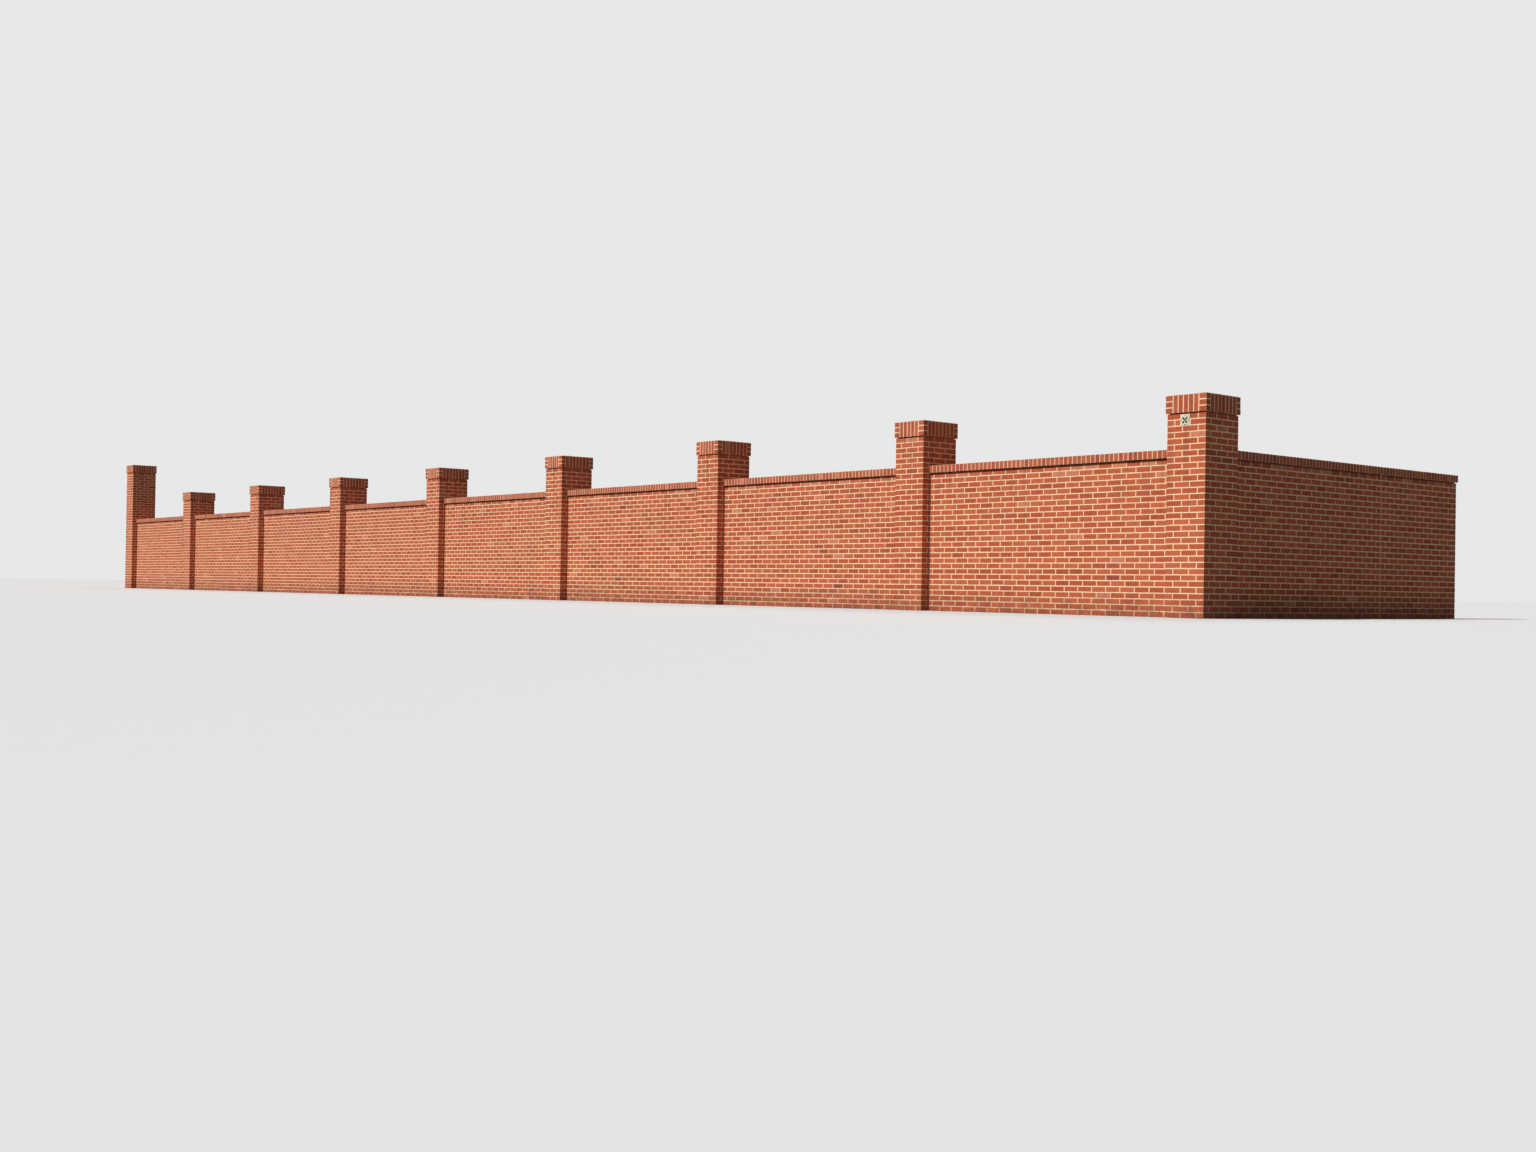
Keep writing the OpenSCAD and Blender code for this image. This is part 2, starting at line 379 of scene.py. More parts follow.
def joint_mortar(colours, name="joint_mortar", tint=None):
    """Mortar with its sand, a little darker where wet in patches, soiled near the ground."""
    paint, tint = Paint(name), tint or colours.mortar
    cloud = paint.noise(2.3, 4.0, 0.6)
    patch = paint.noise(30.0, 3.0, 0.6)
    sand = paint.noise(700.0, 2.0, 0.6)
    colour = paint.mix(cloud.between(0.45, 0.72) * 0.22, tint, darker(tint, 0.72))
    colour = paint.mix(patch.between(0.50, 0.70) * 0.22, colour, darker(tint, 0.62))
    colour = paint.mix(sand.between(0.55, 0.66) * 0.2, colour, JOINT_GRAIN)
    colour = run_off(paint, colour, colours)
    colour = splashed(paint, colour, colours, 0.30, (0.2, 0.7), 0.8)
    return paint.finish(colour, 0.9 + sand * 0.08, sand * 0.6 + patch, 0.6, 0.0014)


def wall_mortars(colours):
    """The two mortars of a wall: in its struck joints, and in the deep joint on top, darkened there
    with painted shade.
    """
    return joint_mortar(colours), joint_mortar(colours, "deep_joint", colours.deep_joint)


def weathered_wash(colours):
    """Trowelled mortar on top of a cap, greyed by the weather, with dark lichen in places."""
    paint = Paint("weathered_wash")
    cloud = paint.noise(9.0, 4.0, 0.65)
    grain = paint.noise(160.0, 3.0, 0.6)
    lichen = paint.noise(38.0, 4.0, 0.7).between(0.60, 0.68)
    colour = paint.mix(cloud.between(0.4, 0.7), colours.wash, darker(colours.wash, 0.62))
    colour = paint.mix(grain.between(0.5, 0.75) * 0.35, colour, WASH_GRAIN)
    colour = paint.mix(lichen * 0.55, colour, LICHEN)
    return paint.finish(colour, 0.93, cloud * 1.5 + grain, 0.6, 0.002)


def joint_sealant(colours):
    """Smooth pale filler, with dust caught on it."""
    paint = Paint("joint_sealant")
    dust = paint.noise(26.0, 4.0, 0.6)
    colour = paint.mix(dust.between(0.45, 0.75) * 0.5, colours.sealant,
                       darker(colours.sealant, 0.6))
    return paint.finish(colour, 0.62 + dust * 0.2, dust)


def glazed_tile(colours, centre, width):
    """Glazed tile with a plain dark figure of four petals, and a bud on each side of it."""
    paint = Paint("glazed_tile")
    size = 2 / width
    # Both ways across the tile, places run from -1 to 1
    moved = paint.node("ShaderNodeMapping", {}, {
        "Vector": paint.place, "Location": [-c * size for c in centre],
        "Scale": (size, size, size)})
    apart = paint.node("ShaderNodeSeparateXYZ", {}, {"Vector": moved.outputs["Vector"]})
    across, up = Value(paint, apart.outputs["X"]), Value(paint, apart.outputs["Z"])
    side, rise = across.most(across * -1), up.most(up * -1)
    reach_squared = across * across + up * up
    petal_tip = side * rise * 1.9 / reach_squared
    petals = (petal_tip * petal_tip - reach_squared).between(0.0, 0.06)
    right, above = side - 1.0, rise - 1.0
    buds = (right * right + rise * rise).least(above * above + side * side).between(0.045, 0.03)
    figure = petals.most(buds)
    wear = paint.noise(120.0, 3.0, 0.6)
    ground = paint.mix(wear.between(0.4, 0.8) * 0.5, colours.tile_pale,
                       darker(colours.tile_pale, 0.72))
    colour = paint.mix(figure * 0.92, ground, colours.tile_dark)
    paint.shader.inputs["Coat Weight"].default_value = 0.6
    paint.shader.inputs["Coat Roughness"].default_value = 0.12
    return paint.finish(colour, 0.34 + wear * 0.1, figure * -1.0 + wear * 0.2, 0.2, 0.0008)


def studio_floor(stage):
    """Pale to the camera and mid grey to everything else, so that it throws little light back."""
    paint = Paint("studio_floor")
    seen = paint.node("ShaderNodeLightPath", {}, {}).outputs["Is Camera Ray"]
    colour = paint.mix(seen, stage.floor_bounce, stage.floor_seen)
    return paint.finish(colour, 0.95)


# Bricks and mortar


def mesh_from(bm, name):
    """Turns finished mesh work into a mesh, and frees it."""
    mesh = bpy.data.meshes.new(name)
    bm.to_mesh(mesh)
    bm.free()
    return mesh


def make_piece(mesh, materials, slot, *nodes):
    """Makes the finished piece, which rides on the wall and stands for its nodes."""
    piece = bpy.data.objects.new(mesh.name, mesh)
    bpy.context.scene.collection.objects.link(piece)
    for material in materials:
        mesh.materials.append(material)
    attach(piece, "root")
    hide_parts(*nodes)


def read(items, name, kind=float, width=1):
    """One property of all of a mesh's faces, corners or points."""
    values = np.empty(len(items) * width, kind)
    items.foreach_get(name, values)
    return values.reshape(-1, width) if width > 1 else values


def draw_map(mesh, rows, home=None, parts=1, near=0.012):
    """Draws each outer side of a piece flat on the piece's map of colours.

    rows lists the sides that lie beside each other on the map, and a long side is cut in parts.
    A face that looks out of a side and is near it is on that side. Any other goes to its home,
    the side that its brick shows, or to the first side.
    """
    normal = read(mesh.polygons, "normal", width=3)
    centre = read(mesh.polygons, "center", width=3)
    place = read(mesh.vertices, "co", width=3)
    low, high = place.min(0), place.max(0)
    size, place = high - low, place[read(mesh.loops, "vertex_index", int)]
    names = [name for row in rows for name in row]
    side = np.zeros(len(centre), int) if home is None else home
    for index, name in enumerate(names):
        axis, way = SIDES[name][:2]
        outer = high[axis] if way > 0 else low[axis]
        shown = (normal[:, axis] * way > SQUARELY) & (abs(centre[:, axis] - outer) < near)
        side[shown] = index
    spots, top, widest = {}, 0.0, 0.0
    for part in range(parts):
        for row in rows:
            left, tallest = 0.0, 0.0
            for name in row:
                across, up = SIDES[name][2], SIDES[name][4]
                spots[name, part] = (left + MAP_MARGIN, top + MAP_MARGIN)
                left += size[across] / parts + 2 * MAP_MARGIN
                tallest = max(tallest, size[up])
            widest = max(widest, left)
            top += tallest + 2 * MAP_MARGIN
    uv = np.zeros((len(place), 2))
    face = np.repeat(np.arange(len(centre)), read(mesh.polygons, "loop_total", int))
    for index, name in enumerate(names):
        across, way, up = SIDES[name][2:]
        start = low[across] if way > 0 else high[across]
        length = size[across] / parts
        along = (centre[:, across] - start) * way
        part_of = np.clip((along / length).astype(int), 0, parts - 1)
        for part in range(parts):
            here = ((side == index) & (part_of == part))[face]
            left, base = spots[name, part]
            uv[here, 0] = (place[here, across] - start) * way - part * length + left
            uv[here, 1] = place[here, up] - low[up] + base
    layer = mesh.uv_layers.new(name="OFBake", do_init=False)
    layer.uv.foreach_set("vector", (uv / max(widest, top)).astype(np.float32).ravel())


def draws_of(sizes, number):
    """The random draws of the piece with this number."""
    return random.Random(sizes.seed * 1000 + number)


class Bricks:
    """The bricks of one piece, laid one at a time."""

    # How far a brick shrinks and turns, as shares of the waver
    shrink, twist = 1.6, 3
    # Share of mortar smeared on the worn edges
    smeared = 0.68

    def __init__(self, sizes, colours, number, light=1.0):
        self.sizes, self.colours, self.light = sizes, colours, light
        self.bm = bmesh.new()
        self.tone = self.bm.faces.layers.float_color.new("brick_colour")
        self.side = self.bm.faces.layers.int.new("brick_side")
        self.chance = draws_of(sizes, number)

    def pick_tone(self, bloom):
        """A kiln's mix of tones. bloom is the share of bricks pale with salts."""
        draw = self.chance.random()
        limits = ((bloom, "pale_brick"), (0.55 + bloom / 2, "orange_brick"), (0.92, "red_brick"),
                  (0.998, "deep_brick"), (1.0, "plum_brick"))
        base = getattr(self.colours, next(tone for limit, tone in limits if draw < limit))
        share = self.chance.uniform(0.94, 1.06) * self.light
        warm = self.chance.uniform(0.96, 1.04)
        return (min(base[0] * share, 1), base[1] * share * warm, base[2] * share / warm, 1.0)

    def lay(self, low, high, side, bloom=USUAL_BLOOM):
        """Lays a brick between two corners, a little out of true. side is the side it shows,
        counted along done's rows."""
        waver, chance = self.sizes.waver, self.chance
        middle = Vector([(a + b) / 2 + chance.uniform(-waver, waver) for a, b in zip(low, high)])
        extent = [abs(b - a) - chance.uniform(0, self.shrink * waver) for a, b in zip(low, high)]
        turn = Matrix.Rotation(chance.uniform(-1, 1) * waver * self.twist, 4,
                               "XYZ"[chance.randrange(3)])
        made = bmesh.ops.create_cube(
            self.bm, size=1,
            matrix=Matrix.Translation(middle) @ turn @ Matrix.Diagonal((*extent, 1.0)))
        for v in made["verts"]:
            v.co += Vector([chance.uniform(-waver, waver) / 2 for _ in range(3)])
        tone = self.pick_tone(bloom)
        for face in {f for v in made["verts"] for f in v.link_faces}:
            face[self.tone] = tone
            face[self.side] = side

    def done(self, node, slot, brick, core, mortars, rows, parts=1):
        """Wears the bricks' edges and smears them with mortar. Then makes the two pieces that
        stand for the node, its bricks and their core of mortar."""
        worn = bmesh.ops.bevel(
            self.bm, geom=self.bm.edges[:], offset=self.sizes.arris, offset_type="OFFSET",
            segments=1, profile=0.5, affect="EDGES", clamp_overlap=True, material=-1)
        smear = Vector((*self.colours.mortar, 1.0))
        for face in worn["faces"]:
            face[self.tone] = Vector(face[self.tone]).lerp(smear, self.smeared)
        mesh = mesh_from(self.bm, f"{node}_bricks")
        home = read(mesh.attributes["brick_side"].data, "value", np.int32).astype(int)
        mesh.attributes.remove(mesh.attributes["brick_side"])
        draw_map(mesh, rows, home, parts)
        make_piece(mesh, [brick], slot, node)
        mesh = mesh_from(core, f"{node}_mortar")
        draw_map(mesh, rows, parts=parts, near=0.03)
        make_piece(mesh, mortars, "mortar", node)


def ring(low, high, z, inset, back=(1, 1, 1, 1)):
    """A level ring in a box, given by two corners. back says how far in it stands on the left,
    front, right and rear, as shares of the inset."""
    left, front, right, rear = (inset * share for share in back)
    return Vector((low.x + left, low.y + front, z)), Vector((high.x - right, high.y - rear, z))


def stack(rings):
    """A closed block grown upwards through level rings."""
    bm = bmesh.new()
    low, high = rings[0]
    middle, size = (low + high) / 2, high - low
    sheet = bmesh.ops.create_grid(
        bm, x_segments=1, y_segments=1, size=0.5,
        matrix=Matrix.Translation(middle) @ Matrix.Diagonal((size.x, size.y, 1, 1)))
    top = list({f for v in sheet["verts"] for f in v.link_faces})
    for low, high in rings[1:]:
        grown = bmesh.ops.extrude_face_region(bm, geom=top)
        new = [g for g in grown["geom"] if isinstance(g, bmesh.types.BMVert)]
        bmesh.ops.delete(bm, geom=top, context="FACES_ONLY")
        middle = sum((v.co for v in new), Vector()) / len(new)
        for v in new:
            v.co = Vector([high[i] if v.co[i] > middle[i] else low[i] for i in range(2)] + [low.z])
        top = [g for g in grown["geom"] if isinstance(g, bmesh.types.BMFace)]
    bmesh.ops.contextual_create(bm, geom=[e for e in bm.edges if e.is_boundary])
    bmesh.ops.recalc_face_normals(bm, faces=bm.faces[:])
    return bm


def struck_core(low, high, sizes, back=(1, 1, 1, 1)):
    """The mortar core of a wall or shaft. back says on which sides it stands in behind bricks.
    Its bed joints are struck hollow, and its deep joint on top takes the second material, which is
    painted shade."""
    struck, bed = sizes.struck, sizes.course - sizes.brick_height
    # A bed joint from its foot up: height in it, and depth as a share of the struck depth
    hollow = ((0.0, 1.0), (LIP, 0.5), (bed * 0.7, 1.25), (bed - LIP, 0.4), (bed, 1.0))
    levels = [(low.z, struck)]
    for course in range(round((high.z - low.z) / sizes.course) - 1):
        z = low.z + course * sizes.course + sizes.brick_height
        levels += [(z + height, struck * share) for height, share in hollow]
    brow = brow_of(high, sizes)
    levels += [(brow - LEDGE_FOOT, struck), (brow - LEDGE_TOP, sizes.drip), (high.z, sizes.drip)]
    core = stack([ring(low, high, z, inset, back) for z, inset in levels])
    for face in core.faces:
        face.material_index = int(face.calc_center_median().z > brow - LEDGE_FOOT)
    return core


class Run:
    """A straight length of walling. Its own axes run along it from its start and across it from
    the middle, and a length that runs back from the corner is turned."""

    def __init__(self, node, sizes):
        self.low, self.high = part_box(node)
        size = self.high - self.low
        self.turned = size.y > size.x
        self.length = max(size.x, size.y)
        self.width = min(size.x, size.y)
        self.courses = round(size.z / sizes.course)
        self.rows = [["right"], ["left"]] if self.turned else [["front"], ["back"]]

    def corners(self, along, across, up):
        """Two opposite corners of a block, each argument giving its start and end."""
        found = [(-b, self.low.y + a, z) if self.turned else (self.low.x + a, b, z)
                 for a, b, z in zip(along, across, up)]
        return [Vector([pick(c) for c in zip(*found)]) for pick in (min, max)]

    def lay_row(self, bricks, spans, up, depth, bloom, sides=(0, 1)):
        """Lays a row on both faces. depth is how far in its bricks reach, and sides are those
        that the two faces show."""
        edge = self.width / 2
        for side, across in zip(sides, ((-edge, depth - edge), (edge, edge - depth))):
            for span in spans:
                bricks.lay(*self.corners(span, across, up), side, bloom)


def row_of_bricks(length, first_joint, start, end, sizes):
    """Where each brick of a row starts and ends: start and end are the mortar at its ends."""
    module, half = sizes.brick_length + sizes.joint, sizes.joint / 2
    bricks, at, joint = [], start, first_joint
    while joint < length - end:
        bricks.append((at, joint - half))
        at, joint = joint + half, joint + module
    bricks.append((at, length - end))
    return [b for b in bricks if b[1] - b[0] > SHORTEST]


# Operators


class WALL_OT_lay_piers(bpy.types.Operator):
    """Lays the nine brick piers, two and a half bricks by three"""

    bl_idname = "garden_wall.lay_piers"
    bl_label = "Lay Piers"

    # Share of bricks pale with salts, what the bricks near the top add, and what near means
    bloom, top_bloom, near_top = 0.01, 0.03, 0.35

    def execute(self, context):
        sizes, colours = context.scene.wall_sizes, context.scene.wall_colours
        brick, mortars = fired_brick(colours), wall_mortars(colours)
        tile_low, tile_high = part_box("corner_tile")
        rows = [["front", "right", "back", "left"]]
        for number, node in enumerate(PIERS):
            low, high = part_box(node)
            bricks = Bricks(sizes, colours, DRAWS["piers"] + number)
            for course in range(round((high.z - low.z) / sizes.course)):
                z = low.z + course * sizes.course
                top = z + sizes.brick_height
                bloom = self.bloom + self.top_bloom * (high.z - z < self.near_top)
                for x0, x1, y0, y1, side in self.plan(low, high, course, sizes):
                    spans = [(x0, x1)]
                    by_tile = node == "corner_pier" and y0 < low.y + HAIR
                    if by_tile and z < tile_high.z and top > tile_low.z + HAIR:
                        spans = [(x0, min(x1, tile_low.x)), (max(x0, tile_high.x), x1)]
                    for a, b in spans:
                        if b - a > SHORTEST:
                            bricks.lay((a, y0, z), (b, y1, top), side, bloom)
            core = struck_core(low, high, sizes)
            bricks.done(node, "pier_brick", brick, core, mortars, rows)
        return {"FINISHED"}

    def plan(self, low, high, course, sizes):
        """The bricks of a course: left, right, front and rear of each, and the side it shows.
        Every other course lies the other way round."""
        long, wide, joint = sizes.brick_length, sizes.brick_width, sizes.joint
        pitch, inner = long + joint, low.y + wide + joint
        plan = [(x0, x0 + long, y0, y1, side)
                for side, y0, y1 in ((0, low.y, low.y + wide), (2, high.y - wide, high.y))
                for x0 in (low.x, low.x + pitch)]
        plan += [(high.x - wide, high.x, y0, y0 + long, 1)
                 for y0 in (low.y, low.y + pitch, low.y + 2 * pitch)]
        plan += [(low.x, low.x + wide, y0, y0 + long, 3) for y0 in (inner, inner + pitch)]
        if course % 2:
            across = low.x + high.x
            plan = [(across - x1, across - x0, y0, y1, {1: 3, 3: 1}.get(side, side))
                    for x0, x1, y0, y1, side in plan]
        return plan


class WALL_OT_lay_caps(bpy.types.Operator):
    """Stands the soldier bricks of each cap between stacked quoins, under a mortar wash"""

    bl_idname = "garden_wall.lay_caps"
    bl_label = "Lay Caps"

    # Share of the walling's light that these bricks have
    light = 0.95
    # The wash: the lean of its edge, what a long edge is, the cuts across one, its roughness
    lean, long_edge, cuts, rough = 0.002, 0.1, 7, (0.0025, 0.0025, 0.0011)

    def execute(self, context):
        sizes, colours = context.scene.wall_sizes, context.scene.wall_colours
        brick, mortars = fired_brick(colours), (joint_mortar(colours), weathered_wash(colours))
        rows = [["front", "right", "back", "left"], ["top"]]
        for number, node in enumerate(CAPS):
            low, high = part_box(node)
            crown = low.z + sizes.brick_length
            bricks = Bricks(sizes, colours, DRAWS["caps"] + number, self.light)
            self.lay_cap(bricks, low, high, crown, sizes)
            core = self.bed_wash(low, high, crown, sizes, number)
            bricks.done(node, "cap_brick", brick, core, mortars, rows)
        return {"FINISHED"}

    def lay_cap(self, bricks, low, high, crown, sizes):
        """Stacks a quoin at each corner and stands the soldiers between them up to the crown."""
        wide, thick, joint = sizes.brick_width, sizes.brick_height, sizes.joint
        width, depth = high.x - low.x, high.y - low.y
        fronts = round((width - 2 * wide - joint) / (thick + joint))
        gap = (width - 2 * wide - fronts * thick) / (fronts + 1)
        sides = round((depth - 2 * wide) / (thick + joint))
        quoin = (depth - sides * thick - (sides + 1) * joint) / 2
        bed = (sizes.brick_length - 3 * thick) / 2
        for x0 in (low.x, high.x - wide):
            for side, y0 in ((0, low.y), (2, high.y - quoin)):
                for k in range(3):
                    z = low.z + k * (thick + bed)
                    bricks.lay((x0, y0, z), (x0 + wide, y0 + quoin, z + thick), side)
        for k in range(fronts):
            x0 = low.x + wide + gap + k * (thick + gap)
            for side, y0, y1 in ((0, low.y, low.y + wide), (2, high.y - wide, high.y)):
                bricks.lay((x0, y0, low.z), (x0 + thick, y1, crown), side)
        for k in range(sides):
            y0 = low.y + quoin + joint + k * (thick + joint)
            for side, x0, x1 in ((3, low.x, low.x + wide), (1, high.x - wide, high.x)):
                bricks.lay((x0, y0, low.z), (x1, y0 + thick, crown), side)

    def bed_wash(self, low, high, crown, sizes, number):
        """The cap's mortar: the core behind the struck joints, and the wash trowelled on top."""
        struck, inset, edge = sizes.struck, sizes.wash_inset, crown + sizes.wash_edge
        slope = ((high.x - low.x) / 2 - inset) / 2
        levels = ((low.z, struck), (crown - struck, struck), (crown - struck, inset),
                  (edge, inset + self.lean), (high.z - HAIR, inset + slope))
        bm = stack([ring(low, high, z, depth) for z, depth in levels])
        foot = crown - struck + HAIR / 2
        on_top = [f for f in bm.faces if f.calc_center_median().z > foot]
        edges = list({e for f in on_top for e in f.edges if e.calc_length() > self.long_edge})
        bmesh.ops.subdivide_edges(bm, edges=edges, cuts=self.cuts, use_grid_fill=True)
        chance = draws_of(sizes, DRAWS["wash"] + number)
        # In order of place, which is the same in every run
        upper = [v for v in bm.verts if v.co.z > edge - HAIR]
        for v in sorted(upper, key=lambda v: [round(c, 4) for c in v.co]):
            v.co += Vector([chance.uniform(-1, 1) * w for w in self.rough])
        for f in bm.faces:
            f.material_index = int(f.calc_center_median().z > foot)
        return bm


class WALL_OT_lay_bays(bpy.types.Operator):
    """Lays the eight bays of walling between the piers, in running bond on both faces"""

    bl_idname = "garden_wall.lay_bays"
    bl_label = "Lay Bays"

    # Next to the corner pier the bond laps by a third of a brick, and elsewhere by half
    corner_laps = (0.039, 0.109)
    # There a first brick shorter than this joins the next one, behind a thin joint
    shortest_first, thin_joint = 0.05, 0.0068
    # What the top course and the one under it add to the share of bricks pale with salts
    top_bloom = {1: 0.18, 2: 0.05}

    def execute(self, context):
        sizes, colours = context.scene.wall_sizes, context.scene.wall_colours
        # brow places the band of painted shadow that the bricks get under the coping
        brow = brow_of(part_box(BAYS[0])[1], sizes)
        brick, mortars = fired_brick(colours, brow), wall_mortars(colours)
        for number, node in enumerate(BAYS):
            run = Run(node, sizes)
            bricks = Bricks(sizes, colours, DRAWS["bays"] + number)
            for course in range(run.courses):
                z = run.low.z + course * sizes.course
                bloom = USUAL_BLOOM + self.top_bloom.get(run.courses - course, 0.0)
                first, start, end = self.row_start(run, number, course, sizes)
                run.lay_row(bricks, row_of_bricks(run.length, first, start, end, sizes),
                            (z, z + sizes.brick_height), sizes.brick_width, bloom)
            core = struck_core(run.low, run.high, sizes, (0, 1, 0, 1))
            bricks.done(node, "wall_brick", brick, core, mortars, run.rows)
        return {"FINISHED"}

    def row_start(self, run, number, course, sizes):
        """Where a row's first upright joint stands, and the mortar at the row's two ends."""
        joint, module = sizes.joint, sizes.brick_length + sizes.joint
        if number:
            whole = (course + number) % 2
            first = joint * 1.5 + (sizes.brick_length if whole else sizes.brick_width)
            return first, joint, joint
        lap = self.corner_laps[(run.courses - 1 - course) % 2]
        first = (run.length - lap) % module
        if first > self.shortest_first:
            return first, joint, 0.0
        return first + module, self.thin_joint, 0.0


class WALL_OT_lay_copings(bpy.types.Operator):
    """Stands the coping bricks on edge, two end to end across the wall"""

    bl_idname = "garden_wall.lay_copings"
    bl_label = "Lay Copings"

    # Share of the walling's light that these bricks have, and share pale with salts
    light, bloom = 0.90, 0.04
    # Drop from the mortar's raked top to its full width
    shoulder = 0.006

    def execute(self, context):
        sizes, colours = context.scene.wall_sizes, context.scene.wall_colours
        brick = fired_brick(colours)
        mortar = joint_mortar(colours, "coping_mortar", colours.coping_mortar)
        # Whether a length has a joint at its start and end, and whether its mortar is raked there
        runs = [(node, (1, 1), (0, 0)) for node in COPINGS]
        runs += [("return_coping_near", (1, 0), (0, 0)), ("return_coping_far", (0, 0), (1, 1))]
        for number, (node, joints, raked) in enumerate(runs):
            run = Run(node, sizes)
            rows = [run.rows[0], ["long_top" if run.turned else "top"], run.rows[1]]
            bricks = Bricks(sizes, colours, DRAWS["copings"] + number, self.light)
            self.lay_run(run, bricks, joints, sizes)
            core = self.bed_run(run, raked, sizes)
            bricks.done(node, "coping_brick", brick, core, [mortar], rows, parts=2)
        return {"FINISHED"}

    def lay_run(self, run, bricks, joints, sizes):
        """Stands the bricks of one length, evenly spaced."""
        thick, joint = sizes.brick_height, sizes.joint
        count = math.floor((run.length + (1 - sum(joints)) * joint) / (thick + joint) + 1e-6)
        gap = (run.length - count * thick) / (count - 1 + sum(joints))
        for k in range(count):
            a = joints[0] * gap + k * (thick + gap)
            run.lay_row(bricks, [(a, a + thick)], (run.low.z, run.high.z), sizes.brick_length,
                        self.bloom, (0, 2))

    def bed_run(self, run, raked, sizes):
        """The mortar between the bricks of one length."""
        struck, rake, crown = sizes.struck, sizes.rake, run.high.z - sizes.rake
        ends = (raked[0] * rake, run.length - raked[1] * rake)
        edge = run.width / 2
        return stack([run.corners(ends, (back - edge, edge - back), (z, z)) for z, back in (
            (run.low.z, struck), (crown - self.shoulder, struck), (crown, rake))])


class WALL_OT_lay_return(bpy.types.Operator):
    """Lays the two lengths of the return wall, with whole and half bricks at the open joint"""

    bl_idname = "garden_wall.lay_return"
    bl_label = "Lay Return Wall"

    # What the top course adds to the share of bricks pale with salts
    top_bloom = 0.15

    def execute(self, context):
        sizes, colours = context.scene.wall_sizes, context.scene.wall_colours
        # brow places the band of painted shadow that the bricks get under the coping
        brow = brow_of(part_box("return_wall_near")[1], sizes)
        brick, mortars = fired_brick(colours, brow), wall_mortars(colours)
        for number, node in enumerate(("return_wall_near", "return_wall_far")):
            run, free_end = Run(node, sizes), node == "return_wall_far"
            bricks = Bricks(sizes, colours, DRAWS["return"] + number)
            if free_end:
                # The far length shows its end too
                run.rows = [["right", "back"], ["left"]]
            for course in range(run.courses):
                bloom = USUAL_BLOOM + self.top_bloom * (course == run.courses - 1)
                self.lay_course(run, bricks, course, bloom, free_end, sizes)
            core = struck_core(run.low, run.high, sizes, (1, 0, 1, int(free_end)))
            bricks.done(node, "wall_brick", brick, core, mortars, run.rows)
        return {"FINISHED"}

    def lay_course(self, run, bricks, course, bloom, free_end, sizes):
        """Lays both faces of a course, and the bricks that close the wall's free end."""
        long, wide, joint = sizes.brick_length, sizes.brick_width, sizes.joint
        z = run.low.z + course * sizes.course
        up = (z, z + sizes.brick_height)
        last = wide if course % 2 else long
        if not free_end:
            first = (run.length - last - joint / 2) % (long + joint)
            spans = row_of_bricks(run.length, first, joint, 0.0, sizes)
            run.lay_row(bricks, spans, up, wide, bloom)
            return
        spans = row_of_bricks(run.length, last + joint / 2, 0.0, 0.0, sizes)
        edge, closer = run.width / 2, run.width / 2 - wide - joint
        closers = [(-closer, closer)]
        if last == wide:
            spans, closers = spans[:-1], [(-edge, long - edge), (long + joint - edge, edge)]
        run.lay_row(bricks, spans, up, wide, bloom, (0, 2))
        for across in closers:
            bricks.lay(*run.corners((run.length - wide, run.length), across, up), 1, bloom)


class WALL_OT_close_joint(bpy.types.Operator):
    """Colours the filler strip of the expansion joint, which is shown as it was packed"""

    bl_idname = "garden_wall.close_joint"
    bl_label = "Close Expansion Joint"

    def execute(self, context):
        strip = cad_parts["expansion_filler"]
        strip.data.materials.clear()
        strip.data.materials.append(joint_sealant(context.scene.wall_colours))
        return {"FINISHED"}


class WALL_OT_set_tile(bpy.types.Operator):
    """Sets the small glazed tile in its mortar border, high on the corner pier"""

    bl_idname = "garden_wall.set_tile"
    bl_label = "Set Tile"

    border: a_length("Border", "Width of the mortar round the tile", 0.009)
    proud: a_length("Proud", "How far the tile stands out of the pier's face", 0.004)

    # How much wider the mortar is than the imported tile, to lie under the bricks beside it
    tuck = 0.004
    # Width and depth of the rim inside which the tile and its mortar are dished
    tile_rim, mortar_rim = (0.0055, 0.0012), (0.0075, 0.0006)
    # How round an outer edge is, and what counts as near it
    rounding, near_edge = 0.0015, 0.0005

    def execute(self, context):
        colours = context.scene.wall_colours
        low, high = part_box("corner_tile")
        centre = Vector(((low.x + high.x) / 2, low.y, (low.z + high.z) / 2))
        width = high.x - low.x - 2 * self.border
        self.make("corner_tile_glazed", centre, width, low.y, high.y - HAIR, self.tile_rim,
                  glazed_tile(colours, centre, width), "tile")
        self.make("corner_tile_mortar", centre, high.x - low.x + self.tuck, low.y + self.proud,
                  high.y, self.mortar_rim, joint_mortar(colours), "mortar")
        return {"FINISHED"}

    def make(self, name, centre, width, front, rear, rim, material, slot):
        """A square slab with rounded edges and a face that is dished inside a rim."""
        size = Vector((width, rear - front, width))
        middle = Vector((centre.x, (front + rear) / 2, centre.z))
        bm = bmesh.new()
        bmesh.ops.create_cube(bm, size=1, matrix=Matrix.Translation(middle)
                              @ Matrix.Diagonal((*size, 1)))
        face = min(bm.faces, key=lambda f: f.calc_center_median().y)
        bmesh.ops.inset_region(bm, faces=[face], thickness=rim[0], depth=-rim[1])
        outer = [e for e in bm.edges if all(
            max(abs(v.co.x - middle.x), abs(v.co.z - middle.z)) > width / 2 - self.near_edge
            for v in e.verts)]
        bmesh.ops.bevel(bm, geom=outer, offset=self.rounding, offset_type="OFFSET", segments=2,
                        profile=0.5, affect="EDGES", clamp_overlap=True, material=-1)
        mesh = mesh_from(bm, name)
        draw_map(mesh, [["front"]], near=0.02)
        make_piece(mesh, [material], slot, "corner_tile")


